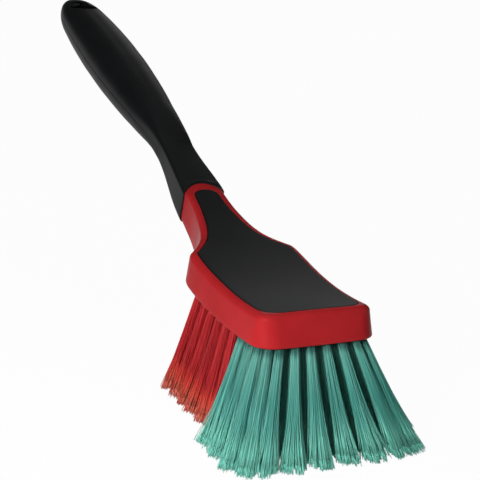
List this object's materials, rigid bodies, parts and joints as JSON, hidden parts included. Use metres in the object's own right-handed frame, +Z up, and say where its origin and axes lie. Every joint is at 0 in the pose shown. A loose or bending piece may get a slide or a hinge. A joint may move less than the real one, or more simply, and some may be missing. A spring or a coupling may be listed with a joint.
{
  "type": "hand brush",
  "caption": "Hand brush with a curved block, a rising neck, a soft rounded grip, a soft top pad and rows of flared bristle tufts in two colours.",
  "frame": {"origin": "middle of the bounding box at the floor that the trimmed bristle tips stand on", "axes": "+Z up; +Y from the front of the block to the end of the handle; +X across the block"},
  "size_m": [0.118, 0.4118, 0.1778],
  "materials": {
    "red_pp": "moulded red polypropylene, satin to gloss",
    "black_tpe": "moulded black soft elastomer, matt",
    "teal_filament": "teal polyester bristle filament, trimmed and split at the tips",
    "red_filament": "red polyester bristle filament, trimmed and split at the tips"
  },
  "bodies": {
    "root": {"core": "red_pp", "top_pad": "black_tpe", "soft_grip": "black_tpe", "tuft_row_01": "teal_filament", "tuft_row_02": "teal_filament", "tuft_row_03": "teal_filament", "tuft_row_04": "teal_filament", "tuft_row_05": "red_filament", "tuft_row_06": "red_filament", "tuft_row_07": "red_filament", "tuft_row_08": "red_filament", "tuft_row_09": "red_filament", "tuft_row_10": "red_filament", "tuft_row_11": "red_filament"}
  },
  "joints": []
}
